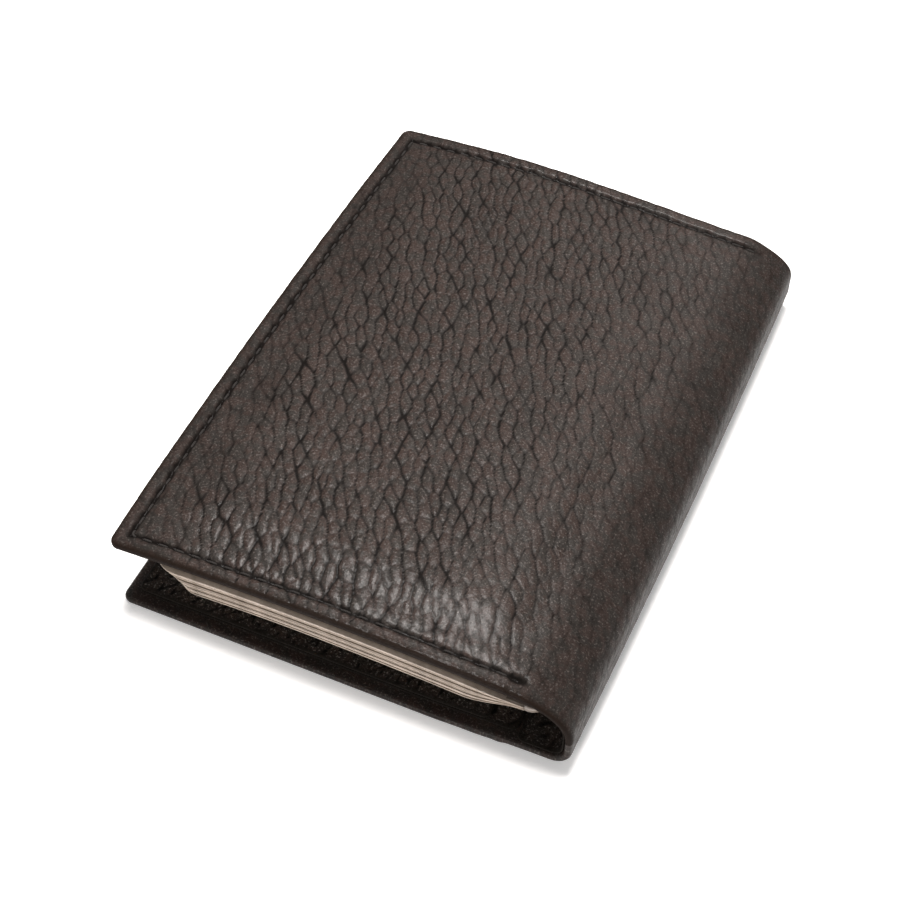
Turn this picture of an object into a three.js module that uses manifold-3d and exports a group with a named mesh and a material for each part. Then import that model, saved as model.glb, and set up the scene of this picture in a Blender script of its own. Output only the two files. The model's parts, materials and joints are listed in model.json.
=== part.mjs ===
// Business card case: two leather covers joined by a leather spine, with clear card sleeves
// hinged on a strip inside the front cover. Millimetres, +Z up. The case lies closed on its back
// cover: X runs from the fore-edge to the spine, Y along the spine, and the origin is the middle
// of the footprint on the table.

import * as THREE from 'three';
import { mergeVertices } from 'three/addons/utils/BufferGeometryUtils.js';
import Module from 'manifold-3d';

const wasm = await Module();
wasm.setup();

// ---- driving dimensions ----------------------------------------------------------------------

const LENGTH = 105;            // along the spine
const WIDTH = 75;              // fore-edge to the outside of the spine
const HEIGHT = 15;             // closed, on the table
const CORNER = 2;              // corner radius of a cover in plan
const EDGE = 0.3;              // rounding of a cut leather edge

const FORE = -WIDTH / 2;       // front cover's fore-edge
const SPINE = WIDTH / 2;       // outer face of the spine
const BACK_SETBACK = 1.2;      // the back cover stops this far inside the front cover
const NEAR = -LENGTH / 2;
const FAR = LENGTH / 2;

// Layers of a cover, as distances in from its outer face.
const LEATHER = [0, 1.2];      // outer leather, turned over the board round its edge
const BOARD_BED = [0.7, 1.2];  // bed in the turned edge that the stiffener lies in
const BOARD = [0.75, 1.15];
const LINING = [1.25, 1.65];
const POCKET = [1.7, 2.2];     // slip pocket, back cover only
const STRIP = [1.25, 1.7];     // strip that carries the sleeves, front cover only
const TURN_IN = 5;             // width of the turned edge
const LINING_MARGIN = 0.8;     // the lining stops this far inside the cover's edge

// Creases: each cover turns about a line this far in from the case's outer faces, so that the
// covers and the spine lie flat on the table when the case is open.
const CREASE_DEPTH = 2;
const CREASE_GAP = 0.2;
const CREASE_X = SPINE - CREASE_DEPTH;
const COVER_END = CREASE_X - CREASE_GAP;
const LINING_END = 28.5;       // the stiff, stitched part of a cover stops here

const SPINE_LEATHER = 1.2;
const SPINE_LINING = 0.4;
const LAYER_GAP = 0.05;

// Stitching, sunk in a groove round the three free sides.
const STITCH_INSET = 2.75;
const GROOVE_WIDTH = 0.9;
const GROOVE_DEPTH = 0.4;
const THREAD = 0.28;

// Slip pocket.
const POCKET_MOUTH = 24;       // the pocket opens towards the spine at this x
const POCKET_SEAM = 4;
const POCKET_RELIEF = 0.15;

// Card sleeves: each is two clear films. Each next sleeve down is hinged a pitch lower and a
// pitch nearer to the spine, so the sleeves stay clear of each other as they fan out.
const SLEEVES = 8;
const FILM = 0.15;
const FILM_GAP = 0.1;
const SLEEVE_PITCH = 0.5;
const SLEEVE_WIDTH = 57.5;
const SLEEVE_LENGTH = 103;
const SLEEVE_CORNER = 3;
const SLEEVE_TOP = HEIGHT - LINING[1] - 0.1;
const SLEEVE_HINGE = 25.5;     // x of the first sleeve's hinge
const WELD_GAP = 0.6;
const WELD_END = 33;           // the sleeves' welded edges meet in one thin edge here
const WELD_EDGE = 0.6;

// ---- materials -------------------------------------------------------------------------------

const material = (color, roughness, opacity = 1) =>
  new THREE.MeshStandardMaterial({ color, roughness, metalness: 0, opacity, transparent: opacity < 1 });

const leather = material(0x3b3431, 0.55);
const leatherLining = material(0x2a2422, 0.6);
const board = material(0x8d8577, 0.9);
const thread = material(0x1c1816, 0.7);
const film = material(0xcfc8bb, 0.2, 0.45);
const weld = material(0xb7ae9f, 0.3, 0.7);

// ---- solids ----------------------------------------------------------------------------------

function toSolid(geometry) {
  const bare = geometry.index ? geometry.toNonIndexed() : geometry.clone();
  bare.deleteAttribute('normal');
  bare.deleteAttribute('uv');
  const merged = mergeVertices(bare, 1e-5);
  return new wasm.Manifold(new wasm.Mesh({
    numProp: 3,
    vertProperties: new Float32Array(merged.attributes.position.array),
    triVerts: new Uint32Array(merged.index.array),
  }));
}

function toGeometry(solid) {
  const mesh = solid.getMesh();
  const geometry = new THREE.BufferGeometry();
  geometry.setAttribute('position', new THREE.BufferAttribute(mesh.vertProperties, 3));
  geometry.setIndex(new THREE.BufferAttribute(mesh.triVerts, 1));
  geometry.computeVertexNormals();
  return geometry;
}

const cut = (geometry, tool) => toGeometry(toSolid(geometry).subtract(toSolid(tool)));

// A rectangle in plan, with its two fore-edge corners rounded.
function panel(left, right, length, radius) {
  const half = length / 2;
  const shape = new THREE.Shape();
  shape.moveTo(right, -half);
  shape.lineTo(right, half);
  shape.lineTo(left + radius, half);
  shape.absarc(left + radius, half - radius, radius, Math.PI / 2, Math.PI, false);
  shape.lineTo(left, -half + radius);
  shape.absarc(left + radius, -half + radius, radius, Math.PI, 1.5 * Math.PI, false);
  shape.closePath();
  return shape;
}

// A plan outline made into a plate between two heights, its edges rounded by `edge`.
function plate(shape, bottom, top, edge = 0) {
  const geometry = new THREE.ExtrudeGeometry(shape, {
    depth: top - bottom - 2 * edge,
    curveSegments: 5,
    bevelEnabled: edge > 0,
    bevelThickness: edge,
    bevelSize: edge,
    bevelOffset: -edge,
    bevelSegments: 2,
  });
  return geometry.translate(0, 0, bottom + edge);
}

// A section in X and Z carried along the length of the case.
function alongSpine(section, length) {
  const geometry = new THREE.ExtrudeGeometry(section, { depth: length, curveSegments: 4, bevelEnabled: false });
  return geometry.rotateX(Math.PI / 2).translate(0, length / 2, 0);
}

// A band of one width round the three stitched sides, seen in plan.
function stitchBand(fore, inset, width, overrun) {
  const outer = inset - width / 2;
  const inner = inset + width / 2;
  const right = LINING_END + overrun;
  const shape = new THREE.Shape();
  shape.moveTo(right, NEAR + outer);
  shape.lineTo(right, NEAR + inner);
  shape.lineTo(fore + inner, NEAR + inner);
  shape.lineTo(fore + inner, FAR - inner);
  shape.lineTo(right, FAR - inner);
  shape.lineTo(right, FAR - outer);
  shape.lineTo(fore + outer, FAR - outer);
  shape.lineTo(fore + outer, NEAR + outer);
  shape.closePath();
  return shape;
}

// ---- pieces ----------------------------------------------------------------------------------

const pieces = [];

function add(name, geometry, look) {
  const mesh = new THREE.Mesh(geometry, look);
  mesh.name = name;
  pieces.push(mesh);
}

// A cover is built inwards from its outer face: `up` is +1 for the back cover, whose inside is
// above it, and -1 for the front cover.
function coverSide(outerFace, up) {
  const height = (distance) => outerFace + up * distance;
  return ([from, to], shape, edge) => {
    const [bottom, top] = [height(from), height(to)].sort((a, b) => a - b);
    return plate(shape, bottom, top, edge);
  };
}

function addCover(name, fore, outerFace, up) {
  const layer = coverSide(outerFace, up);
  const inside = fore + TURN_IN;
  const innerLength = LENGTH - 2 * TURN_IN;

  const shell = layer(LEATHER, panel(fore, COVER_END, LENGTH, CORNER), EDGE);
  const bed = layer([BOARD_BED[0], BOARD_BED[1] + 1], panel(inside, LINING_END, innerLength, 1));
  const groove = layer([-1, GROOVE_DEPTH], stitchBand(fore, STITCH_INSET, GROOVE_WIDTH, 0.5));
  add(`${name}_leather`, cut(cut(shell, bed), groove), leather);

  const clearance = 0.3;
  const boardShape = panel(
    inside + clearance, LINING_END - clearance, innerLength - 2 * clearance, 1);
  add(`${name}_board`, layer(BOARD, boardShape), board);

  const liningShape = panel(fore + LINING_MARGIN, LINING_END, LENGTH - 2 * LINING_MARGIN, CORNER - 0.5);
  add(`${name}_lining`, layer(LINING, liningShape), leatherLining);

  const depth = GROOVE_DEPTH - LAYER_GAP;
  const row = stitchBand(fore, STITCH_INSET, THREAD, 0);
  add(`${name}_stitching`, layer([depth - THREAD, depth], row, THREAD / 4), thread);
}

function addSlipPocket() {
  const fore = FORE + BACK_SETBACK;
  const layer = coverSide(0, 1);
  const length = LENGTH - 2 * LINING_MARGIN;
  const face = layer(POCKET, panel(fore + LINING_MARGIN, POCKET_MOUTH, length, CORNER - 0.5));
  const reliefShape = panel(fore + POCKET_SEAM, POCKET_MOUTH + 1, length - 2 * POCKET_SEAM, 1);
  const relief = layer([POCKET[0] - 1, POCKET[0] + POCKET_RELIEF], reliefShape);
  add('back_slip_pocket', cut(face, relief), leatherLining);
}

// A flat strip standing on edge behind the spine, with its two outer edges rounded.
function spineStrip(outer, thickness, bottom, top, radius) {
  const inner = outer - thickness;
  const section = new THREE.Shape();
  section.moveTo(inner, bottom);
  section.lineTo(outer - radius, bottom);
  section.absarc(outer - radius, bottom + radius, radius, -Math.PI / 2, 0, false);
  section.lineTo(outer, top - radius);
  section.absarc(outer - radius, top - radius, radius, 0, Math.PI / 2, false);
  section.lineTo(inner, top);
  section.closePath();
  return section;
}

function addSpine() {
  const bottom = CREASE_DEPTH + CREASE_GAP;
  const top = HEIGHT - CREASE_DEPTH - CREASE_GAP;
  const outside = spineStrip(SPINE, SPINE_LEATHER, bottom, top, 1);
  add('spine_leather', alongSpine(outside, LENGTH), leather);

  const liningFace = SPINE - SPINE_LEATHER - LAYER_GAP;
  const inside = spineStrip(liningFace, SPINE_LINING, bottom + 0.4, top - 0.4, 0.1);
  add('spine_lining', alongSpine(inside, LENGTH - 2 * LINING_MARGIN), leatherLining);
}

function addSleeve(number) {
  const drop = (number - 1) * SLEEVE_PITCH;
  const hinge = SLEEVE_HINGE + drop;
  const shape = panel(hinge - SLEEVE_WIDTH, hinge, SLEEVE_LENGTH, SLEEVE_CORNER);
  const top = SLEEVE_TOP - drop;
  const backTop = top - FILM - FILM_GAP;
  add(`sleeve_${number}_front_film`, plate(shape, top - FILM, top), film);
  add(`sleeve_${number}_back_film`, plate(shape, backTop - FILM, backTop), film);
}

// The strip glued inside the front cover, and the sleeves' edges welded together under it.
function addSleeveBinding() {
  const layer = coverSide(HEIGHT, -1);
  const strip = panel(LINING_END + 0.3, COVER_END - 0.1, SLEEVE_LENGTH, 0.5);
  add('binding_strip', layer(STRIP, strip), leatherLining);

  const stack = (SLEEVES - 1) * SLEEVE_PITCH;
  const sleeveHeight = 2 * FILM + FILM_GAP;
  const bottom = SLEEVE_TOP - stack - sleeveHeight;
  const left = SLEEVE_HINGE + WELD_GAP;
  const section = new THREE.Shape();
  section.moveTo(left - sleeveHeight / 2, SLEEVE_TOP);
  section.lineTo(left + stack + sleeveHeight / 2, bottom);
  section.lineTo(WELD_END, SLEEVE_TOP - WELD_EDGE);
  section.lineTo(WELD_END, SLEEVE_TOP);
  section.closePath();
  add('sleeve_welded_edge', alongSpine(section, SLEEVE_LENGTH), weld);
}

addCover('back', FORE + BACK_SETBACK, 0, 1);
addSlipPocket();
addSpine();
addCover('front', FORE, HEIGHT, -1);
addSleeveBinding();
for (let number = 1; number <= SLEEVES; number += 1) addSleeve(number);

const cardCase = new THREE.Group();
cardCase.add(...pieces);

export default cardCase;
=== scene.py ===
"""Business card case, closed on a table: pebbled leather covers, spine, stitching and clear sleeves.

Lengths are in millimetres until a mesh is made. The hide is laid out flat in two coordinates: u runs
round the case from the front fore-edge over the spine to the back fore-edge, and v along the spine.
"""

import json
import math

import bpy
import numpy as np
from mathutils import Matrix, Vector

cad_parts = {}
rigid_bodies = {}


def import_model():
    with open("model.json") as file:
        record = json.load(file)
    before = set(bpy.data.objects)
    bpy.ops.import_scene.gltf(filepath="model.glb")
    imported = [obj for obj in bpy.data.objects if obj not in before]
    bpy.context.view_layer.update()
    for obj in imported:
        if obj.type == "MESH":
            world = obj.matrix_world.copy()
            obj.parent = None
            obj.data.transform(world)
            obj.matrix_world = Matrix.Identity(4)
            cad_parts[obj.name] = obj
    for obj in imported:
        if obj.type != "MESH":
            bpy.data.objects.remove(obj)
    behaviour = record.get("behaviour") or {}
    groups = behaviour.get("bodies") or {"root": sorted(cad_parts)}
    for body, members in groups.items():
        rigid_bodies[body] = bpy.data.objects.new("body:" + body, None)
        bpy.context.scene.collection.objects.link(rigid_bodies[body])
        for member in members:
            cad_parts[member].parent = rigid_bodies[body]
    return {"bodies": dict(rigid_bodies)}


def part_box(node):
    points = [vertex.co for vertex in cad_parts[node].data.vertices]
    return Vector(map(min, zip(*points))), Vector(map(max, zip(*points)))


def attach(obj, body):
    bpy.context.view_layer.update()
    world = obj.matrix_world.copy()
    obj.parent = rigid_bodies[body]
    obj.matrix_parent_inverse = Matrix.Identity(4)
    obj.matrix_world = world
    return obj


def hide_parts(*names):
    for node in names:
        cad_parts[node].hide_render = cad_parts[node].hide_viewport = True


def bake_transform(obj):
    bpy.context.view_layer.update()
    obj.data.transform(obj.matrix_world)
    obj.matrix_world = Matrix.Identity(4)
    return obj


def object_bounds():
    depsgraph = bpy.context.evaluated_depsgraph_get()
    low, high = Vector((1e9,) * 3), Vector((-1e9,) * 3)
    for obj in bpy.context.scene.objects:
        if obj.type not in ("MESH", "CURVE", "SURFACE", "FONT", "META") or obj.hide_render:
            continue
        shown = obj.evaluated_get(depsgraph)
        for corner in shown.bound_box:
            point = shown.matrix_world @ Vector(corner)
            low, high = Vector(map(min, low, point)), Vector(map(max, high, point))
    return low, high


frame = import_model()
CAD_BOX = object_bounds()

MM = 0.001

# ---- sizes taken from the frame ----------------------------------------------------------------

low, high = (np.array(corner) / MM for corner in CAD_BOX)
FORE, SPINE = low[0], high[0]
NEAR, FAR = low[1], high[1]
HALF_LENGTH = (FAR - NEAR) / 2
BACK_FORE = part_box("back_leather")[0].x / MM
LINING_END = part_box("front_lining")[1].x / MM
POCKET_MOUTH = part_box("back_slip_pocket")[1].x / MM
SLEEVE_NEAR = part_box("sleeve_1_front_film")[0].y / MM
SLEEVES = sum(1 for name in frame["bodies"] if name.startswith("sleeve_"))

# ---- the case's shape --------------------------------------------------------------------------

CORNER_Z = 14.4          # top of the front cover at its two free corners
BOW_ACROSS = 1.2         # the front cover is higher by this in the middle of its width
BOW_ALONG = 0.7          # and by this in the middle of its length
BOW_CENTRE = -6.0        # the bow across is highest here
BOW_HALF = 31.5          # and comes down to CORNER_Z this far from there
FORE_BULGE = 0.5         # the fore-edge bows outwards
FORE_SKEW = 0.5          # and stands out more at its near end than at its far end
FAR_SAG = 1.1            # the front cover is lower by this at its far end, on the spine side
BACK_SKEW = 1.0          # the back cover's fore-edge stands out by this at the near end
SPINE_BULGE = 0.5
SHOULDER_X = 26.0        # the front cover starts to roll over into the spine here
SHOULDER_Z = 7.0         # and the spine is upright from here down
SHOULDER_POWER = 2.2     # 2 would make the roll an ellipse, more makes it squarer
HEEL_RADIUS = 3.3        # bend between the spine and the back cover
HEEL_LIFT = 0.9          # the heel of the case stands this far off the table
HEEL_RAMP_X = 12.0       # the underside starts to lift here
SPLIT_Z = 6.75           # the hide is divided here, on the upright part of the spine
CORNER = 1.6             # corner radius of a cover in plan

RIM_LEATHER = 1.25       # thickness of the front leather at its turned edge
MID_LEATHER = 0.9        # and over the board
BACK_RIM_LEATHER = 1.2
BACK_MID_LEATHER = 0.7
SPINE_LEATHER = 1.25
TURN_IN = 5.0
PEBBLE_DEPTH = 0.27
PADDING = 1.1            # the front leather stands this much proud of its stitched edge

STITCH_INSET = 2.75
STITCH_PITCH = 2.7
STITCH_LENGTH = 2.05
STITCH_SINK = 0.30       # depth of a stitch's middle
STITCH_DIVE = 0.55       # its ends are deeper by this
THREAD_RADIUS = 0.21
THREAD_STEPS, THREAD_SIDES = 11, 8
NEAR_STITCH_SHORT = 1.9  # the near row of the front cover stops this far short of the lining's end
FAR_STITCH_END = 31.5    # and its far row runs on to here


def smooth(x, a, b):
    """0 below a, 1 above b, an S curve between."""
    t = np.clip((np.asarray(x, float) - a) / (b - a), 0, 1)
    return t * t * (3 - 2 * t)


# ---- noise -------------------------------------------------------------------------------------

def hashed(ix, iy, seed):
    """A repeatable random number from 0 to 1 for each lattice point."""
    n = (ix.astype(np.int64) * 374761393 + iy.astype(np.int64) * 668265263 + seed * 2246822519) & 0xFFFFFFFF
    n = ((n ^ (n >> 13)) * 1274126177) & 0xFFFFFFFF
    return ((n ^ (n >> 16)) & 0xFFFFFF) / float(0xFFFFFF)


def noise(x, y, seed):
    """Smooth value noise from -1 to 1 with features about 1 across."""
    ix, iy = np.floor(x), np.floor(y)
    fx, fy = x - ix, y - iy
    fx, fy = fx * fx * (3 - 2 * fx), fy * fy * (3 - 2 * fy)
    a, b = hashed(ix, iy, seed), hashed(ix + 1, iy, seed)
    c, d = hashed(ix, iy + 1, seed), hashed(ix + 1, iy + 1, seed)
    return 2 * (a + (b - a) * fx + (c - a) * fy + (a - b - c + d) * fx * fy) - 1


def layered(x, y, seed, octaves=4):
    """Noise with finer and finer detail."""
    total = sum(noise(x * 2**k, y * 2**k, seed + k) / 2**k for k in range(octaves))
    return total / 2


def cells(x, y, seed, jitter=0.5, row=1.0):
    """Cells in staggered rows. Gives the distance to the nearest centre, the distance to the border with
    the next cell, and how far that border runs along y (1) rather than across it (0)."""
    base = np.floor(y / row)
    away = []
    for dy in (-2, -1, 0, 1, 2):
        cy = base + dy
        stagger = 0.5 * np.mod(cy, 2)
        column = np.floor(x - stagger)
        for dx in (-1, 0, 1):
            cx = column + dx
            px = cx + stagger + 0.5 + jitter * (hashed(cx, cy, seed) - 0.5)
            py = (cy + 0.5 + jitter * (hashed(cx, cy, seed + 91) - 0.5)) * row
            away.append(np.stack([px - x, py - y]))
    away = np.stack(away)
    distance = np.hypot(away[:, 0], away[:, 1])
    order = np.argsort(distance, axis=0)[:2]
    first, second = np.take_along_axis(distance, order, 0)
    (ax, bx), (ay, by) = (np.take_along_axis(away[:, i], order, 0) for i in (0, 1))
    apart = np.hypot(bx - ax, by - ay)
    return first, (second**2 - first**2) / (2 * apart), np.abs(bx - ax) / apart


# ---- leather grain -----------------------------------------------------------------------------

GRAIN_TURN = math.radians(23)      # the creases lean this far from the spine towards the fore-edge
PEBBLE_ACROSS, PEBBLE_ALONG = 2.0, 4.5
PEBBLE_ROW = 0.62                  # rows of pebbles this far apart, as a share of PEBBLE_ALONG
CREASE = 0.08                      # half width of a crease, as a share of PEBBLE_ACROSS


def grain(u, v, seed):
    """Pebble height, from about -1 in a crease to 0.4 on a pebble's crown."""
    wu = u + 1.1 * layered(u / 11, v / 14, seed + 11, 3) + 0.22 * layered(u / 1.9, v / 1.9, seed + 12, 2)
    wv = v + 1.1 * layered(u / 11, v / 11, seed + 21, 3) + 0.30 * layered(u / 1.9, v / 1.9, seed + 22, 2)
    across = wu * math.cos(GRAIN_TURN) + wv * math.sin(GRAIN_TURN)
    along = -wu * math.sin(GRAIN_TURN) + wv * math.cos(GRAIN_TURN)
    near, border, lean = cells(across / PEBBLE_ACROSS, along / PEBBLE_ALONG, seed, 0.72, PEBBLE_ROW)
    vary = 0.5 + 0.5 * noise(across / 1.9, along / 6.5, seed + 31)
    depth = (0.55 + 0.45 * vary) * (0.38 + 0.62 * smooth(lean, 0.35, 0.85))
    crease = -depth * np.exp(-(border / CREASE) ** 1.2)
    crown = 0.30 * (1 - (near / 0.55) ** 2)
    _, fine_border, _ = cells(across / 1.0, along / 1.5, seed + 41, 0.8)
    fine = -0.13 * np.exp(-fine_border / 0.13) * (0.6 + 0.4 * noise(u / 3, v / 3, seed + 43))
    ripple = 0.06 * noise(across / 0.55, along / 0.8, seed + 51)
    return crease + crown + fine + ripple


def wrinkles(u, v, seed):
    """Fine creases running across the hide, where it carries no pebbles."""
    turn = u + 0.8 * noise(u / 6, v / 6, seed)
    fold = np.abs(noise(turn / 4.5, v / 0.85 + 0.5 * noise(u / 2.5, v / 2.5, seed + 1), seed + 2))
    return -0.8 * np.exp(-fold / 0.16) + 0.25 * noise(u / 0.8, v / 0.7, seed + 3)


# ---- the surface of the case -------------------------------------------------------------------

def hide_section():
    """Outer face of the hide in X and Z, evenly spaced, from the front to the back fore-edge."""
    x = np.linspace(FORE, SHOULDER_X, 300)
    z = CORNER_Z + BOW_ACROSS * (1 - ((x - BOW_CENTRE) / BOW_HALF) ** 2)
    turn = np.linspace(0, math.pi / 2, 160)[1:]
    power = 2 / SHOULDER_POWER
    shoulder_x = SHOULDER_X + (SPINE - SHOULDER_X) * np.sin(turn) ** power
    shoulder_z = SHOULDER_Z + (z[-1] - SHOULDER_Z) * np.cos(turn) ** power
    heel_z = HEEL_RADIUS + HEEL_LIFT
    spine_z = np.linspace(SHOULDER_Z, heel_z, 30)[1:]
    heel = np.linspace(0, math.pi / 2, 60)[1:]
    heel_x = SPINE - HEEL_RADIUS + HEEL_RADIUS * np.cos(heel)
    under_x = np.linspace(SPINE - HEEL_RADIUS, BACK_FORE, 400)[1:]
    under_z = HEEL_LIFT * smooth(under_x, HEEL_RAMP_X, SPINE - HEEL_RADIUS)
    points = np.concatenate([
        np.stack([x, z], 1),
        np.stack([shoulder_x, shoulder_z], 1),
        np.stack([np.full(len(spine_z), SPINE), spine_z], 1),
        np.stack([heel_x, heel_z - HEEL_RADIUS * np.sin(heel)], 1),
        np.stack([under_x, under_z], 1),
    ])
    length = np.concatenate([[0], np.cumsum(np.hypot(*np.diff(points, axis=0).T))])
    even = np.linspace(0, length[-1], int(length[-1] / 0.1) + 1)
    section = np.stack([np.interp(even, length, points[:, i]) for i in (0, 1)], 1)
    reach = 9
    kernel = np.hanning(2 * reach + 1) / np.hanning(2 * reach + 1).sum()
    padded = np.pad(section, ((reach, reach), (0, 0)), mode="reflect", reflect_type="odd")
    section = np.stack([np.convolve(padded[:, i], kernel, "valid") for i in (0, 1)], 1)
    return even, section


U, SECTION = hide_section()
TANGENT = np.gradient(SECTION, U, axis=0)
TANGENT /= np.linalg.norm(TANGENT, axis=1)[:, None]
U_END = U[-1]
on_spine = (SECTION[:, 0] > SPINE - 1) & (np.abs(SECTION[:, 1] - SPLIT_Z) < 0.2)
U_SPLIT = U[on_spine].mean()


def front_u(x):
    """Where the front cover's outer face passes x."""
    top = U < U_SPLIT
    return float(np.interp(x, SECTION[top, 0], U[top]))


def back_u(x):
    """Where the back cover's outer face passes x."""
    bottom = U > U_SPLIT
    return float(np.interp(-x, -SECTION[bottom, 0], U[bottom]))


def place(u, v, depth):
    """Points of the case at hide coordinates u and v, `depth` in from the outer face."""
    x, z = (np.interp(u, U, SECTION[:, i]) for i in (0, 1))
    tx, tz = (np.interp(u, U, TANGENT[:, i]) for i in (0, 1))
    nx, nz = -tz, tx
    along = 1 - (v / HALF_LENGTH) ** 2
    front = u < U_SPLIT
    across = np.clip(1 - ((x - BOW_CENTRE) / BOW_HALF) ** 2, 0, 1)
    lift = BOW_ALONG * along * (1 - 0.55 * across) * (1 - smooth(x, 14, 33)) * front
    bulge = -FORE_BULGE * along * (1 - smooth(x, FORE, FORE + 30)) * front
    bulge = bulge + SPINE_BULGE * along * smooth(x, SPINE - 7, SPINE)
    bulge = bulge + FORE_SKEW * v / HALF_LENGTH * (1 - smooth(x, FORE, FORE + 40)) * front
    bulge = bulge - BACK_SKEW * smooth(-v, -20, HALF_LENGTH) * (1 - smooth(x, FORE, FORE + 40)) * ~front
    sag = FAR_SAG * smooth(v, 0, HALF_LENGTH) * smooth(x, -22, 24)
    lift = lift - sag * smooth(z, SHOULDER_Z, 13) * front
    return np.stack([x - nx * depth + bulge, v, z - nz * depth + lift], -1)


# ---- meshes ------------------------------------------------------------------------------------

def build_mesh(name, points, quads, smooth_shade=True):
    mesh = bpy.data.meshes.new(name)
    flat = np.asarray(points, np.float32).reshape(-1, 3) * MM
    quads = np.asarray(quads, np.int32)
    mesh.vertices.add(len(flat))
    mesh.vertices.foreach_set("co", flat.ravel())
    mesh.loops.add(quads.size)
    mesh.loops.foreach_set("vertex_index", quads.ravel())
    mesh.polygons.add(len(quads))
    mesh.polygons.foreach_set("loop_start", np.arange(0, quads.size, quads.shape[1], dtype=np.int32))
    mesh.polygons.foreach_set("use_smooth", np.full(len(quads), smooth_shade))
    mesh.update(calc_edges=True)
    mesh.validate()
    obj = bpy.data.objects.new(name, mesh)
    bpy.context.scene.collection.objects.link(obj)
    return obj


def grid_quads(rows, columns, offset=0, flip=False):
    index = np.arange(rows * columns).reshape(rows, columns) + offset
    quads = np.stack([index[:-1, :-1], index[1:, :-1], index[1:, 1:], index[:-1, 1:]], -1).reshape(-1, 4)
    return quads[:, ::-1] if flip else quads


def shell(name, outer, inner):
    """A closed thin body between two grids of points, with walls round the border."""
    rows, columns = outer.shape[:2]
    count = rows * columns
    index = np.arange(count).reshape(rows, columns)
    ring = np.concatenate([index[0, :-1], index[:-1, -1], index[-1, :0:-1], index[:0:-1, 0]])
    following = np.roll(ring, -1)
    wall = np.stack([ring, following, following + count, ring + count], 1)
    quads = np.concatenate([
        grid_quads(rows, columns), grid_quads(rows, columns, count, flip=True), wall])
    return build_mesh(name, np.concatenate([outer.reshape(-1, 3), inner.reshape(-1, 3)]), quads)


def part_walls(obj, shape, side):
    """Shades the wall on one side of a shell apart from its faces, so two shells meet without a line."""
    rows, columns = shape
    first = 2 * (rows - 1) * (columns - 1)
    if side == "high_u":
        first += columns - 1 + rows - 1
    for polygon in range(first, first + columns - 1):
        obj.data.polygons[polygon].use_smooth = False


def paint(obj, name, outer, inner=None):
    """Stores one number for each vertex, for the materials to read."""
    inner = outer if inner is None else inner
    values = np.concatenate([np.ravel(outer), np.ravel(inner)]).astype(np.float32)
    obj.data.attributes.new(name, "FLOAT", "POINT").data.foreach_set("value", values)


def lay_out(obj, u, v):
    """Flat hide coordinates as a UV map, in metres, so that the grain stays put as the hide bends."""
    flat = np.tile(np.stack([np.ravel(u), np.ravel(v)], 1) * MM, (2, 1)).astype(np.float32)
    corner = np.zeros(len(obj.data.loops), np.int32)
    obj.data.loops.foreach_get("vertex_index", corner)
    layer = obj.data.uv_layers.new(name="hide")
    layer.data.foreach_set("uv", flat[corner].ravel())


def spacing(start, end, step, round_start, round_end):
    """Stations from start to end, close together where an edge is rounded."""
    close = np.array([0, 0.06, 0.16, 0.32, 0.52, 0.76])
    first = close if round_start else np.array([0.0])
    last = close if round_end else np.array([0.0])
    middle_start, middle_end = start + first[-1] + step, end - last[-1] - step
    middle = np.linspace(middle_start, middle_end, max(2, int((middle_end - middle_start) / step)))
    return np.concatenate([start + first, middle, (end - last)[::-1]])


def sheet_grid(u0, u1, v0, v1, step, free, radius):
    """Stations of a rectangular sheet with rounded corners, and each one's distance to a free edge.
    `free` names the sides that are cut edges: "low_u", "high_u" and "ends"."""
    us = spacing(u0, u1, step, "low_u" in free, "high_u" in free)
    vs = spacing(v0, v1, step, "ends" in free, "ends" in free)
    u, v = np.meshgrid(us, vs, indexing="ij")
    far_off = np.full(u.shape, 99.0)
    du = far_off
    if "low_u" in free:
        du = np.minimum(du, u - u0)
    if "high_u" in free:
        du = np.minimum(du, u1 - u)
    dv = np.minimum(v - v0, v1 - v) if "ends" in free else far_off
    in_corner = (du < radius) & (dv < radius)
    square = np.minimum(du, dv)
    pa, pb = np.clip(1 - du / radius, 0, 1), np.clip(1 - dv / radius, 0, 1)
    ra, rb = pa * np.sqrt(1 - pb**2 / 2), pb * np.sqrt(1 - pa**2 / 2)
    edge = np.where(in_corner, radius * (1 - np.hypot(ra, rb)), square)
    side_u = np.where(u - u0 < u1 - u, 1.0, -1.0)
    side_v = np.where(v - v0 < v1 - v, 1.0, -1.0)
    u = u + np.where(in_corner, side_u * (pa - ra) * radius, 0)
    v = v + np.where(in_corner, side_v * (pb - rb) * radius, 0)
    return u, v, edge


def rounded(edge, radius):
    """How much of its full height a sheet has at this distance from its edge."""
    t = np.clip(edge / radius, 0, 1)
    return 0.12 + 0.88 * np.sqrt(1 - (1 - t) ** 2)


def layer_piece(name, u0, u1, v0, v1, outer_depth, inner_depth, free, radius, step,
                relief=None, taper=1.15):
    """A sheet of the case between two depths, with rounded cut edges."""
    u, v, edge = sheet_grid(u0, u1, v0, v1, step, free, radius)
    d0 = outer_depth(u, v, edge) if callable(outer_depth) else np.full(u.shape, float(outer_depth))
    d1 = inner_depth(u, v, edge) if callable(inner_depth) else np.full(u.shape, float(inner_depth))
    middle, half = (d0 + d1) / 2, (d1 - d0) / 2
    full = rounded(edge, np.maximum(half, 0.1) * taper)
    outer = place(u, v, middle - half * full - (relief(u, v, edge)[0] if relief else 0))
    inner = place(u, v, middle + half * full + (relief(u, v, edge)[1] if relief else 0))
    obj = shell(name, outer, inner)
    lay_out(obj, u, v)
    paint(obj, "edge", np.clip(edge, 0, 9))
    return obj, u, v, edge


# ---- materials ---------------------------------------------------------------------------------

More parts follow.
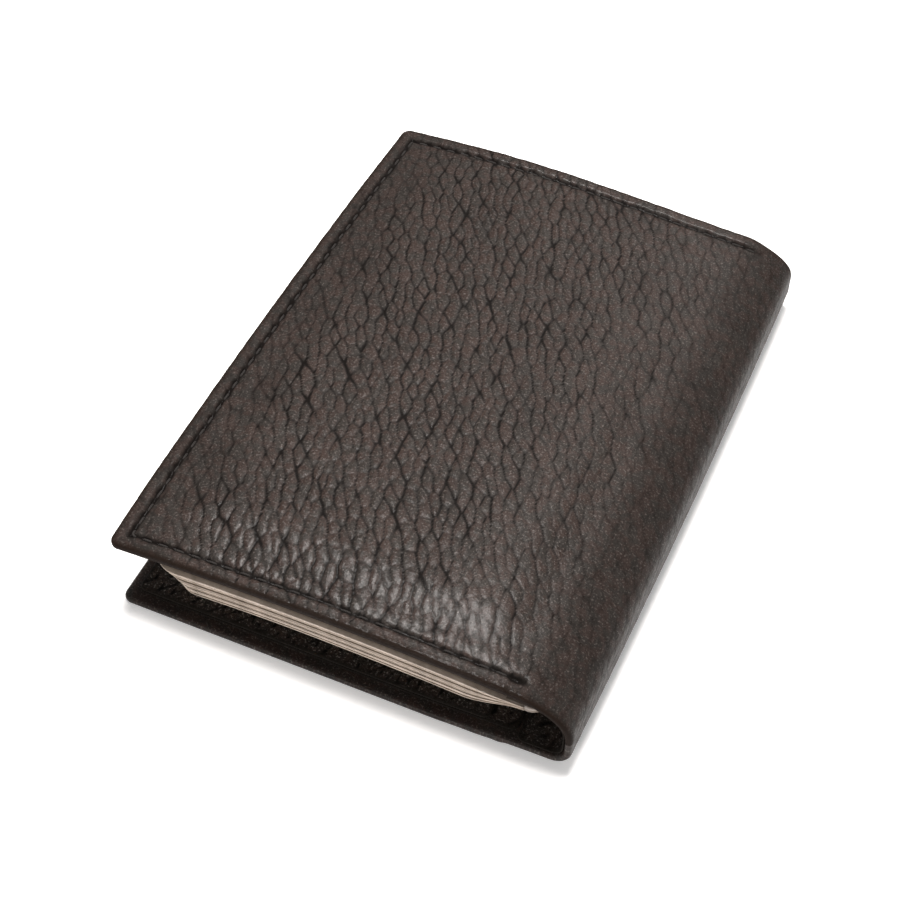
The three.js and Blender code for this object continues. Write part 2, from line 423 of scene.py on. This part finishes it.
class Nodes:
    """Short names for building a node material."""

    def __init__(self, name):
        self.material = bpy.data.materials.new(name)
        self.material.use_nodes = True
        self.tree = self.material.node_tree
        self.shader = self.tree.nodes["Principled BSDF"]

    def add(self, kind, inputs=None, **settings):
        node = self.tree.nodes.new("ShaderNode" + kind)
        for key, value in settings.items():
            setattr(node, key, value)
        for key, value in (inputs or {}).items():
            self.put(node.inputs[key], value)
        return node

    def put(self, socket, value):
        if isinstance(value, bpy.types.NodeSocket):
            self.tree.links.new(value, socket)
        else:
            socket.default_value = value

    def attribute(self, name):
        return self.add("Attribute", attribute_name=name).outputs["Fac"]

    def hide(self, scale=1.0):
        """Flat hide coordinates, with one unit for each millimetre when scale is 1."""
        uv = self.add("UVMap", uv_map="hide").outputs["UV"]
        mapping = self.add("Mapping", {"Vector": uv, "Scale": (1000 * scale,) * 3})
        return mapping.outputs["Vector"]

    def noise(self, vector, scale, detail=4, roughness=0.55):
        return self.add("TexNoise", {
            "Vector": vector, "Scale": scale, "Detail": detail, "Roughness": roughness}).outputs["Fac"]

    def ramp(self, value, stops):
        node = self.add("ValToRGB", {"Fac": value})
        elements = node.color_ramp.elements
        while len(elements) < len(stops):
            elements.new(0.5)
        for element, (position, colour) in zip(elements, stops):
            element.position = position
            element.color = (*colour, 1)
        return node.outputs["Color"]

    def math(self, operation, a, b=0.0):
        node = self.add("Math", operation=operation)
        self.put(node.inputs[0], a)
        self.put(node.inputs[1], b)
        return node.outputs[0]

    def mix(self, factor, a, b, blend="MIX"):
        node = self.add("MixRGB", {"Fac": factor}, blend_type=blend)
        self.put(node.inputs["Color1"], a)
        self.put(node.inputs["Color2"], b)
        return node.outputs["Color"]

    def span(self, value, a, b, low=0.0, high=1.0):
        """value from a to b becomes low to high, held at both ends."""
        return self.add("MapRange", {
            "Value": value, "From Min": a, "From Max": b, "To Min": low, "To Max": high}).outputs["Result"]

    def bump(self, height, strength, distance, under=None):
        inputs = {"Height": height, "Strength": strength, "Distance": distance}
        if under is not None:
            inputs["Normal"] = under
        return self.add("Bump", inputs).outputs["Normal"]

    def finish(self, **values):
        for key, value in values.items():
            self.put(self.shader.inputs[key.replace("_", " ")], value)
        return self.material


def leather_material(name, tones, crease, edge_wear_and_shade_colour, painted_glint_colour, roughness, micro=1.0):
    """Leather: two tones in patches, painted shade in the creases and in fine wrinkles and pores, painted
    glints on the pebbles, edges darkened partly by wear and partly as painted shade, and painted shade
    where the leather is marked bare.
    """
    n = Nodes(name)
    at = n.hide()
    pebble = n.attribute("pebble")
    bare = n.attribute("bare")
    patches = n.span(n.noise(at, 0.42, 3, 0.6), 0.44, 0.56)
    tone = n.mix(patches, (*tones[0], 1), (*tones[1], 1))
    clouds = n.span(n.noise(at, 0.1, 3), 0.3, 0.7, 0.82, 1.2)
    # Painted shade: the tone is up to 28 % darker where the leather is marked bare, on the spine's shoulder
    # and near the front fore-edge.
    shade = n.math("MULTIPLY", clouds, n.span(bare, 0, 1, 1.0, 0.72))
    grey = n.add("CombineXYZ", {"X": shade, "Y": shade, "Z": shade}).outputs[0]
    tone = n.mix(1.0, tone, grey, "MULTIPLY")
    # Painted shade: the colour goes towards the crease colour where the pebble value is low, in creases,
    # the stitch groove and wrinkles.
    crease_shaded = n.mix(n.span(pebble, -0.5, 0.0, 0.96, 0.0), tone, (*crease, 1))
    # Painted shade of fine wrinkles and pores, drawn in colour only, not in relief.
    ridge = n.math("ABSOLUTE", n.math("SUBTRACT", n.noise(at, 2.1, 3, 0.62), 0.5))
    pores = n.math("ABSOLUTE", n.math("SUBTRACT", n.noise(at, 3.3, 2, 0.6), 0.5))
    furrow = n.math("ADD", n.span(ridge, 0.0, 0.045), n.math("MULTIPLY", n.span(pores, 0.0, 0.08), 0.8))
    darker = n.mix(n.span(furrow, 0.2, 1.3, 0.9, 0.0), crease_shaded, (*crease, 1))
    # Painted glints: bright flecks on the pebbles' crowns, fewer where the leather is marked bare.
    painted_glint_mask = n.math("MULTIPLY", n.span(n.noise(at, 2.7, 2, 0.7), 0.55, 0.68),
                     n.math("MULTIPLY", n.span(pebble, -0.4, 0.1, 0.0, 0.85), n.span(bare, 0, 1, 1.0, 0.7)))
    with_painted_glints = n.mix(painted_glint_mask, darker, (*painted_glint_colour, 1))
    # Cut edges darkened: partly worn edge colour, partly painted shade that keeps the front rim's
    # curled-under side and the linings' edges dark.
    shaded_worn_edges = n.mix(n.span(n.attribute("edge"), 0.2, 1.0, 0.95, 0.0), with_painted_glints, (*edge_wear_and_shade_colour, 1))
    bumped = n.bump(n.noise(at, 2.4, 3, 0.6), 0.8 * micro, 0.0001)
    dull = n.math("MAXIMUM", n.span(pebble, -0.6, 0.1, roughness + 0.5, roughness),
                  n.span(n.attribute("edge"), 0.4, 1.6, 0.9, roughness))
    uneven = n.math("ADD", n.span(n.noise(at, 1.9, 3), 0.3, 0.7, -0.05, 0.08),
                    n.math("MULTIPLY", bare, 0.36))
    rough = n.math("ADD", dull, uneven)
    glint = n.bump(n.noise(at, 2.3, 2, 0.6), 0.6, 0.00008)
    return n.finish(Base_Color=shaded_worn_edges, Roughness=rough, Normal=bumped, IOR=1.47, Specular_IOR_Level=0.13,
                    Coat_Weight=0.045, Coat_Roughness=0.14, Coat_Normal=glint)


def board_material():
    """Grey millboard with pale fibres."""
    n = Nodes("grey_board")
    at = n.hide()
    fibres = n.noise(at, 1.6, 6, 0.7)
    colour = n.ramp(fibres, [(0.35, (0.19, 0.17, 0.14)), (0.65, (0.30, 0.27, 0.22))])
    return n.finish(Base_Color=colour, Roughness=0.9, Normal=n.bump(fibres, 0.4, 0.0001))


def thread_material():
    """Dark twisted thread."""
    n = Nodes("waxed_thread")
    at = n.add("TexCoord").outputs["Object"]
    twist = n.add("TexWave", {"Vector": at, "Scale": 1400.0, "Distortion": 1.5}, bands_direction="DIAGONAL")
    colour = n.mix(twist.outputs["Fac"], (0.005, 0.004, 0.003, 1), (0.016, 0.012, 0.010, 1))
    return n.finish(Base_Color=colour, Roughness=0.85, Normal=n.bump(twist.outputs["Fac"], 0.6, 0.00005))


def film_material(name, dark, light):
    """Clear soft film: see-through on its faces, pale and milky at its welds and cut edges."""
    n = Nodes(name)
    at = n.hide()
    edge = n.attribute("edge")
    haze = n.noise(at, 0.35, 3)
    cut = n.span(edge, 0.05, 0.35, 1.0, 0.0)
    weld = n.math("MULTIPLY", n.span(edge, 1.3, 1.5), n.span(edge, 2.5, 2.3))
    border = n.span(edge, 1.2, 1.7, 0.8, 0.0)
    solid = n.math("MAXIMUM", n.math("MAXIMUM", cut, border), n.math("MULTIPLY", weld, 0.55))
    alpha = n.math("MAXIMUM", n.span(haze, 0.3, 0.7, 0.16, 0.24), solid)
    streak = n.ramp(n.noise(n.hide(0.5), 1.0, 5, 0.7), [(0.3, dark), (0.7, light)])
    ribs = n.add("TexWave", {"Vector": at, "Scale": 2.2, "Distortion": 0.3}).outputs["Fac"]
    pressed = n.bump(n.math("MULTIPLY", ribs, weld), 0.5, 0.00008, n.bump(haze, 0.15, 0.0006))
    return n.finish(Base_Color=streak, Roughness=0.24, Alpha=alpha, Normal=pressed, IOR=1.53,
                    Coat_Weight=0.15)


# In each leather below, the flecks colour is a painted glint, the crease colour is painted shade, and the
# edge colour is partly worn edge and partly painted shade.
PEBBLED = leather_material(
    "pebbled_leather", tones=[(0.0265, 0.0222, 0.0194), (0.0345, 0.0232, 0.0195)],
    crease=(0.003, 0.002, 0.0015), edge_wear_and_shade_colour=(0.010, 0.0055, 0.0035),
    painted_glint_colour=(0.105, 0.09, 0.083), roughness=0.32)
LINING_LEATHER = leather_material(
    "lining_leather", tones=[(0.030, 0.025, 0.021), (0.042, 0.030, 0.024)],
    crease=(0.003, 0.0025, 0.002), edge_wear_and_shade_colour=(0.010, 0.008, 0.006),
    painted_glint_colour=(0.26, 0.24, 0.22), roughness=0.34, micro=2.2)
BOARD = board_material()
THREAD = thread_material()
FILM = film_material("clear_film", (0.31, 0.25, 0.20), (0.51, 0.42, 0.345))
WELD = film_material("welded_film", (0.13, 0.105, 0.085), (0.22, 0.18, 0.15))


def dress(obj, material):
    obj.data.materials.clear()
    obj.data.materials.append(material)
    return obj


# ---- the covers' leather -----------------------------------------------------------------------

GRAIN_SEED = 3
GROOVE_HALF = 0.38       # half width of the groove that the stitching pulls in
GROOVE_DEPTH = 0.45
RIM_PUFF = 0.28          # the rim outside the stitching stands this much proud
NOTCH_DEPTH = 0.75       # the leather is pulled in by this beside the last near stitch
PAD_RAMP_END = 13        # the padding is at its full height this far in from the cover's edge


def stitch_dip(u, v, fore_side, near_end, far_end):
    """The groove pulled in by the stitching, from 0 to 1, and the rim's puff outside it."""
    to_end = HALF_LENGTH - np.abs(v)
    to_fore = fore_side(u)
    last = np.where(v < 0, near_end, far_end)
    stitched = 1 - smooth(to_fore, last - np.where(v < 0, 2.2, 3.0), last + np.where(v < 0, -0.9, 2.0))
    wander = 0.12 * noise(u / 2.2, v / 2.2, GRAIN_SEED + 5)
    off = np.minimum(to_end, to_fore) - STITCH_INSET + wander
    on_ends = to_end < to_fore
    strength = np.where(on_ends, stitched, 1.0)
    line = np.where(on_ends, to_fore, v)
    hole = 0.5 + 0.5 * np.cos(2 * math.pi * line / STITCH_PITCH)
    groove = np.exp(-(off / GROOVE_HALF) ** 2) * (0.62 + 0.38 * hole)
    gather = 1 + 0.2 * noise(line / 1.25, np.zeros(u.shape), GRAIN_SEED + 9)
    rim = smooth(-off, 0.1, 0.9) * strength * gather
    return groove * strength, rim


def outer_relief(fore_side, near_end, far_end, padding):
    """Grain, stitch groove and puffed rim of a cover's outer face. A cover without padding is the one that
    the case lies on, and its grain does not stand out below the table's height."""
    def relief(u, v, edge):
        groove, rim = stitch_dip(u, v, fore_side, near_end, far_end)
        x = np.interp(u, U, SECTION[:, 0])
        z = np.interp(u, U, SECTION[:, 1])
        to_fore = fore_side(u)
        inset = np.minimum(HALF_LENGTH - np.abs(v), to_fore)
        bare = smooth(x, SHOULDER_X - 1, SHOULDER_X + 6)
        pebbled = (0.35 + 0.65 * smooth(to_fore, 4, 20)) * (0.55 + 0.45 * smooth(inset, 1.5, 5))
        pebbled = pebbled * (1 - 0.6 * bare) * (1 - 0.5 * smooth(x, 2, 22))
        depth = PEBBLE_DEPTH * pebbled * (1 - 0.6 * groove)
        pebble = grain(u, v, GRAIN_SEED)
        wrinkled = 0.03 * bare + 0.035 * (1 - smooth(to_fore, 5, 16))
        cross = wrinkles(u, v, GRAIN_SEED + 200) * wrinkled
        pad = padding * smooth(inset, STITCH_INSET, PAD_RAMP_END)
        pad = pad * (1 - smooth(x, SHOULDER_X - 6, SHOULDER_X + 2))
        pad = pad + 0.16 * np.exp(-((inset - 4.6) / 1.3) ** 2) * (1 - bare)
        notch = 0.0
        if near_end < far_end:
            past_end = (to_fore - near_end + 0.8) / 1.1
            notch = np.exp(-np.hypot(past_end, (v - NEAR - STITCH_INSET) / 0.6) ** 2)
        height = depth * pebble * smooth(edge, 0.0, 0.5) + cross + pad
        height = height - GROOVE_DEPTH * groove + RIM_PUFF * rim - NOTCH_DEPTH * notch
        height = height + 0.10 * layered(u / 18, v / 18, GRAIN_SEED + 77)
        # The pebble value carries painted shade as well: it is lowered in the stitch groove, beside the
        # last near stitch and in the cross wrinkles, so these are painted darker.
        relief.pebble = np.clip(pebble * np.clip(depth / 0.2, 0, 1), -1, 1) - 0.9 * groove - notch
        relief.pebble = relief.pebble + 6 * np.minimum(cross, 0)
        # Painted shade: a darker band high on the shoulder, weaker lower down the spine, and darker leather
        # near the fore-edge; the same value also makes the leather rougher with fewer painted glints.
        bare_spine = bare * (1 - 0.6 * smooth(-z, -11.5, -8))
        relief.bare = np.maximum(bare_spine, 0.6 * (1 - smooth(to_fore, 4, 24)))
        if not padding:
            sunk = height - 0.15 * (1 - smooth(z, 0.1, 0.9))
            height = np.where(z < 3, np.minimum(sunk, z), height)
        return height, np.zeros(u.shape)
    return relief


def hide_half(name, u0, u1, free_side, depth, fore_side, near_end, far_end, padding):
    """One cover's leather, as far as the middle of the spine."""
    relief = outer_relief(fore_side, near_end, far_end, padding)
    obj, u, v, edge = layer_piece(
        name, u0, u1, NEAR, FAR, 0.0, depth, {free_side, "ends"}, CORNER, GRID, relief)
    part_walls(obj, u.shape, "high_u" if free_side == "low_u" else "low_u")
    # The back cover's edges get no darkened edge colour.
    if not padding:
        obj.data.attributes.remove(obj.data.attributes["edge"])
        paint(obj, "edge", np.full(u.shape, 9.0))
    # A low pebble value on the front cover's inner face paints it darker, as shade; the back cover's inner
    # face stays light.
    paint(obj, "pebble", relief.pebble, np.full(u.shape, -0.3 if padding else 0.2))
    paint(obj, "bare", relief.bare)
    return obj


def leather_depth(rim, middle):
    """Thickness of a cover's leather, which is thinner inside its turned edge, where the board lies."""
    def depth(u, v, edge):
        x = np.interp(u, U, SECTION[:, 0])
        in_edge = smooth(edge, TURN_IN - 0.3, TURN_IN)
        return rim + (middle - rim) * in_edge * (1 - smooth(x, LINING_END - 1.5, LINING_END - 1.0))
    return depth


GRID = 0.25

front_hide = hide_half("front_hide", 0.0, U_SPLIT, "low_u", leather_depth(RIM_LEATHER, MID_LEATHER),
                       lambda u: u, front_u(LINING_END), front_u(FAR_STITCH_END), PADDING)
dress(front_hide, PEBBLED)
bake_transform(front_hide)
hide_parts("front_leather")

back_stitch_end = U_END - back_u(LINING_END)
back_hide = hide_half("back_hide", U_SPLIT, U_END, "high_u",
                      leather_depth(BACK_RIM_LEATHER, BACK_MID_LEATHER),
                      lambda u: U_END - u, back_stitch_end, back_stitch_end, 0.0)
dress(back_hide, PEBBLED)
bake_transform(back_hide)
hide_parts("back_leather", "spine_leather")

# ---- boards, linings, pocket -------------------------------------------------------------------

ALL_ROUND = {"low_u", "high_u", "ends"}
FACE_GAP = 0.04          # between two layers that lie on each other
BOARD_INSET = TURN_IN + 0.3
BOARD_END = LINING_END - 1.6
FRONT_LINING = 0.35      # thickness of the linings and of the pocket
LINING = 0.4
POCKET = 0.5
LINING_MARGIN = 0.55
BACK_MARGIN = 1.9        # the back cover's turned edge shows this wide round its lining and pocket
SPINE_LINING_START = 35.2
STRIP_END = 35.1


def inner_relief(seed, depth):
    """Finer grain on a face that looks into the case."""
    def relief(u, v, edge):
        pebble = grain(u * 1.25, v * 1.25, seed)
        relief.pebble = pebble
        return np.zeros(u.shape), depth * pebble * smooth(edge, 0.1, 1.2)
    return relief


def inner_layer(name, u0, u1, free, d0, d1, seed, depth, margin=LINING_MARGIN, step=0.6, bare=0.9):
    relief = inner_relief(seed, depth)
    obj, u, v, edge = layer_piece(name, u0, u1, NEAR + margin, FAR - margin, d0, d1, free, CORNER - 0.4,
                                  step, relief, taper=3.5)
    paint(obj, "pebble", np.zeros(u.shape), relief.pebble)
    # A high bare value darkens a lining's colour and leaves it few painted glints.
    paint(obj, "bare", np.full(u.shape, bare))
    return dress(obj, LINING_LEATHER)


def add_board(side, u0, u1, middle_leather, rim_leather):
    """A stiffener in the bed between the middle of a cover's leather and its lining."""
    board, *_ = layer_piece(f"{side}_stiffener", u0, u1, NEAR + BOARD_INSET, FAR - BOARD_INSET,
                            middle_leather + FACE_GAP, rim_leather - FACE_GAP, ALL_ROUND, 1.0, 3.0)
    dress(board, BOARD)
    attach(board, f"{side}_cover")
    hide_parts(f"{side}_board")


add_board("front", BOARD_INSET, front_u(BOARD_END), MID_LEATHER, RIM_LEATHER)
add_board("back", back_u(BOARD_END), U_END - BOARD_INSET, BACK_MID_LEATHER, BACK_RIM_LEATHER)

front_inside = RIM_LEATHER + FACE_GAP
front_lining = inner_layer("front_inner_lining", LINING_MARGIN, front_u(LINING_END), ALL_ROUND,
                           front_inside, front_inside + FRONT_LINING, 60, 0.05)
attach(front_lining, "front_cover")
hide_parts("front_lining")

back_inside = BACK_RIM_LEATHER + FACE_GAP
back_lining = inner_layer("back_inner_lining", back_u(LINING_END), U_END - BACK_MARGIN, ALL_ROUND,
                          back_inside, back_inside + LINING, 70, 0.05, margin=BACK_MARGIN)
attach(back_lining, "back_cover")
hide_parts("back_lining")

pocket_inside = back_inside + LINING + FACE_GAP
pocket = inner_layer("slip_pocket", back_u(POCKET_MOUTH), U_END - BACK_MARGIN - 0.1, ALL_ROUND,
                     pocket_inside, pocket_inside + POCKET, 80, 0.12,
                     margin=BACK_MARGIN + 0.1, step=0.4, bare=0.0)
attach(pocket, "back_cover")
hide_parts("back_slip_pocket")

spine_inside = SPINE_LEATHER + FACE_GAP
upper_spine_lining = inner_layer("upper_spine_lining", front_u(SPINE_LINING_START), U_SPLIT,
                                 {"low_u", "ends"}, spine_inside, spine_inside + LINING, 90, 0.05)
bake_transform(upper_spine_lining)
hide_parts("spine_lining")
lower_spine_lining = inner_layer("lower_spine_lining", U_SPLIT, back_u(LINING_END + 0.3),
                                 {"high_u", "ends"}, spine_inside, spine_inside + LINING, 90, 0.05)
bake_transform(lower_spine_lining)

# ---- stitching ---------------------------------------------------------------------------------

def stitch_path(reach_near, reach_far, to_u):
    """The row of stitches as points (u, v), from the near end round the fore-edge to the far end."""
    turn = np.linspace(0, math.pi / 2, 7)
    radius = 0.6
    a, b = STITCH_INSET, HALF_LENGTH - STITCH_INSET
    near_corner = np.stack([a + radius - radius * np.sin(turn), -b + radius - radius * np.cos(turn)], 1)
    far_corner = np.stack([a + radius - radius * np.cos(turn), b - radius + radius * np.sin(turn)], 1)
    points = np.concatenate([[[reach_near, -b]], near_corner, far_corner, [[reach_far, b]]])
    points[:, 0] = to_u(points[:, 0])
    return points


def along_path(points, distance):
    """The point of a path at each distance along it, and the path's length."""
    length = np.concatenate([[0], np.cumsum(np.hypot(*np.diff(points, axis=0).T))])
    return np.stack([np.interp(distance, length, points[:, i]) for i in (0, 1)], -1), length[-1]


def sewn_row(name, points, body, replaced):
    """Every stitch is a short bent thread whose ends dive into the leather."""
    _, total = along_path(points, 0.0)
    count = int(total / STITCH_PITCH)
    steps, sides = THREAD_STEPS, THREAD_SIDES
    cap = np.array([[0, 1, 2, 3], [0, 3, 4, 7], [4, 5, 6, 7]])
    share = np.linspace(-1, 1, steps)
    ring = np.linspace(0, 2 * math.pi, sides, endpoint=False)
    vertices, quads = [], []
    for k in range(count):
        middle = (k + 0.5) * total / count
        flat, _ = along_path(points, middle + share * STITCH_LENGTH / 2)
        depth = STITCH_SINK + STITCH_DIVE * np.abs(share) ** 5
        centre = place(flat[:, 0], flat[:, 1], depth)
        up = place(flat[:, 0], flat[:, 1], depth - 1.0) - centre
        run = np.gradient(centre, axis=0)
        side = np.cross(run, up)
        side /= np.linalg.norm(side, axis=1)[:, None]
        thick = THREAD_RADIUS * (1 - 0.45 * np.abs(share) ** 4)
        tube = (centre[:, None] + thick[:, None, None] * (
            side[:, None] * np.cos(ring)[None, :, None] + up[:, None] * np.sin(ring)[None, :, None]))
        base = len(vertices) * steps * sides
        index = np.arange(steps * sides).reshape(steps, sides) + base
        nxt = np.roll(index, -1, axis=1)
        quads.append(np.stack([index[:-1], nxt[:-1], nxt[1:], index[1:]], -1).reshape(-1, 4))
        quads.append(index[0][cap])
        quads.append(index[-1][cap[:, ::-1]])
        vertices.append(tube.reshape(-1, 3))
    obj = build_mesh(name, np.concatenate(vertices), np.concatenate(quads))
    dress(obj, THREAD)
    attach(obj, body)
    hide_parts(replaced)


front_row = stitch_path(front_u(LINING_END) - NEAR_STITCH_SHORT, front_u(FAR_STITCH_END), lambda u: u)
sewn_row("front_stitches", front_row, "front_cover", "front_stitching")
back_row = stitch_path(back_stitch_end, back_stitch_end, lambda u: U_END - u)
sewn_row("back_stitches", back_row, "back_cover", "back_stitching")

# ---- sleeves -----------------------------------------------------------------------------------

FILM_THICK = 0.15
SLEEVE_GAP = 0.5         # from one sleeve to the next
FILM_GAP = 0.15          # from a sleeve's front film to its back film
TOP_CURL = 0.35          # the top sleeve's near edge bends down by this
FILM_FORWARD = 0.9       # the films are pushed this far towards the near end
FILM_TAIL_START, FILM_TAIL_END = 20.0, 29.5     # the films draw together between these
SLEEVE_LEFT = -31.0                             # free edge of the top film, and the drift of the next ones
SLEEVE_DRIFT = 0.27
SLEEVE_CORNER = 4.0
WELD_PITCH = 0.075       # the drawn-together films lie this far apart
WELD_THICK = 0.06        # and are this thick
WELD_RIGHT = 32.6
WELD_DROP = 0.35         # the welded edge hangs down by this towards the spine


def under_cover(x, v):
    """Height of the front lining's inner face."""
    u = np.interp(x, SECTION[U < U_SPLIT, 0], U[U < U_SPLIT])
    return place(u, v, np.full(np.shape(u), front_inside + FRONT_LINING + FACE_GAP))[..., 2]


def film_height(x, v, k):
    """Height of the middle of film k, counted from the top of the stack."""
    flat = under_cover(x, v) - FILM_THICK / 2 - (k // 2) * SLEEVE_GAP - (k % 2) * FILM_GAP
    gathered = under_cover(np.full(np.shape(x), FILM_TAIL_END), v) - 0.08 - k * WELD_PITCH
    drawn = smooth(x, FILM_TAIL_START, FILM_TAIL_END)
    wave = 0.05 * noise(x / 16 + k * 3.7, v / 22, 500 + k) * (1 - drawn)
    droop = 0.03 * k * smooth(-x, 8, 31) + 0.03 * k * smooth(-v, 5, 50) * (1 - drawn)
    if k < 2:
        droop = droop + TOP_CURL * smooth(-v, HALF_LENGTH - 0.7, HALF_LENGTH + 0.6) * (1 - drawn)
    return flat * (1 - drawn) + gathered * drawn + wave - droop


def add_film(number, face, k):
    """One film of a sleeve, drawn together with the others at its spine side."""
    rng = np.random.default_rng(40 + k)
    left = SLEEVE_LEFT + SLEEVE_DRIFT * k + rng.uniform(-0.25, 0.25)
    shift = rng.uniform(-0.15, 0.15) - FILM_FORWARD - 0.35 * (number == 1)
    x, v, edge = sheet_grid(left, FILM_TAIL_END + 0.4, SLEEVE_NEAR + shift, -SLEEVE_NEAR + shift, 1.0,
                            {"low_u", "ends"}, SLEEVE_CORNER)
    middle = film_height(x, v, k)
    drawn = smooth(x, FILM_TAIL_START, FILM_TAIL_END)
    half = (FILM_THICK * (1 - drawn) + WELD_THICK * drawn) / 2
    welded = np.exp(-((edge - 1.9) / 0.35) ** 2) * (1 - drawn)
    toward = -1 if face == "front" else 1
    top = middle + half + 0.03 * welded * (toward > 0)
    bottom = middle - half - 0.03 * welded * (toward < 0)
    obj = shell(f"sleeve_{number}_{face}_sheet", np.stack([x, v, top], -1), np.stack([x, v, bottom], -1))
    lay_out(obj, x, v)
    paint(obj, "edge", edge)
    dress(obj, FILM)
    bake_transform(obj)
    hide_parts(f"sleeve_{number}_{face}_film")


for number in range(1, SLEEVES + 1):
    for face in ("front", "back"):
        add_film(number, face, 2 * (number - 1) + (face == "back"))


def add_binding():
    """The welded edge that the films run into, and the leather strip that carries it."""
    x, v, edge = sheet_grid(FILM_TAIL_END - 2.5, WELD_RIGHT, SLEEVE_NEAR - 0.75, -SLEEVE_NEAR, 0.6,
                            {"high_u", "ends"}, 2.4)
    stack = 2 * SLEEVES
    top = film_height(x, v, 0) + 0.05
    bottom = film_height(x, v, stack - 1) - 0.05
    drop = WELD_DROP * smooth(x, FILM_TAIL_END, WELD_RIGHT)
    obj = shell("sleeve_weld", np.stack([x, v, top - drop], -1),
                np.stack([x, v, bottom - 0.75 * drop], -1))
    lay_out(obj, x, v)
    paint(obj, "edge", np.zeros(x.shape))
    dress(obj, WELD)
    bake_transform(obj)
    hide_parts("sleeve_welded_edge")

    strip = inner_layer("sleeve_strip", front_u(LINING_END + 0.4), front_u(STRIP_END), ALL_ROUND,
                        spine_inside, spine_inside + LINING, 95, 0.04, margin=1.2)
    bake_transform(strip)
    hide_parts("binding_strip")


add_binding()

# ---- stage, light and camera -------------------------------------------------------------------

FLOOR_HALF = 900
LIGHT_COLOUR = 1.0, 0.965, 0.94
AZIMUTH, ELEVATION, ROLL = 23.3, 49.5, 0.78     # degrees
TARGET = -1.15, -8.17, 6.3
DISTANCE = 316
LENS, SENSOR = 78.0, 36.0


def floor_material():
    n = Nodes("pale_floor")
    return n.finish(Base_Color=(0.93, 0.93, 0.93, 1), Roughness=0.9, Specular_IOR_Level=0.0,
                    Emission_Color=(1, 1, 1, 1), Emission_Strength=0.27)


def add_stage():
    corners = FLOOR_HALF * np.array([[-1, -1, 0], [1, -1, 0], [1, 1, 0], [-1, 1, 0]], float)
    floor = build_mesh("floor", corners, [[0, 1, 2, 3]], smooth_shade=False)
    floor.data.materials.append(floor_material())


def area_light(name, place_mm, size, power):
    """A soft light aimed at the case."""
    data = bpy.data.lights.new(name, "AREA")
    data.shape = "RECTANGLE"
    data.size, data.size_y = size[0] * MM, size[1] * MM
    data.energy = power
    data.color = LIGHT_COLOUR
    obj = bpy.data.objects.new(name, data)
    obj.location = Vector(place_mm) * MM
    obj.rotation_euler = (-Vector(place_mm)).to_track_quat("-Z", "Y").to_euler()
    bpy.context.scene.collection.objects.link(obj)


def add_lights():
    world = bpy.data.worlds.new("studio")
    world.use_nodes = True
    world.node_tree.nodes["Background"].inputs["Color"].default_value = (1, 1, 1, 1)
    world.node_tree.nodes["Background"].inputs["Strength"].default_value = 0.17
    bpy.context.scene.world = world
    area_light("key_overhead", (-45, 92, 710), (215, 215), 9.3)
    area_light("back_softbox", (80, 560, 400), (420, 200), 1.1)
    area_light("front_softbox", (-60, -560, 240), (300, 160), 1.15)


def add_camera():
    azimuth, elevation, roll = (math.radians(a) for a in (AZIMUTH, ELEVATION, ROLL))
    target = Vector(TARGET) * MM
    back = Vector((math.sin(azimuth) * math.cos(elevation), -math.cos(azimuth) * math.cos(elevation),
                   math.sin(elevation)))
    data = bpy.data.cameras.new("camera")
    data.lens, data.sensor_width = LENS, SENSOR
    data.clip_start, data.clip_end = 0.01, 10.0
    camera = bpy.data.objects.new("camera", data)
    turn = (-back).to_track_quat("-Z", "Y").to_matrix().to_4x4()
    place_at = Matrix.Translation(target + back * DISTANCE * MM)
    camera.matrix_world = place_at @ turn @ Matrix.Rotation(roll, 4, "Z")
    bpy.context.scene.collection.objects.link(camera)
    bpy.context.scene.camera = camera


add_stage()
add_lights()
add_camera()
bpy.context.scene.view_settings.view_transform = "Standard"
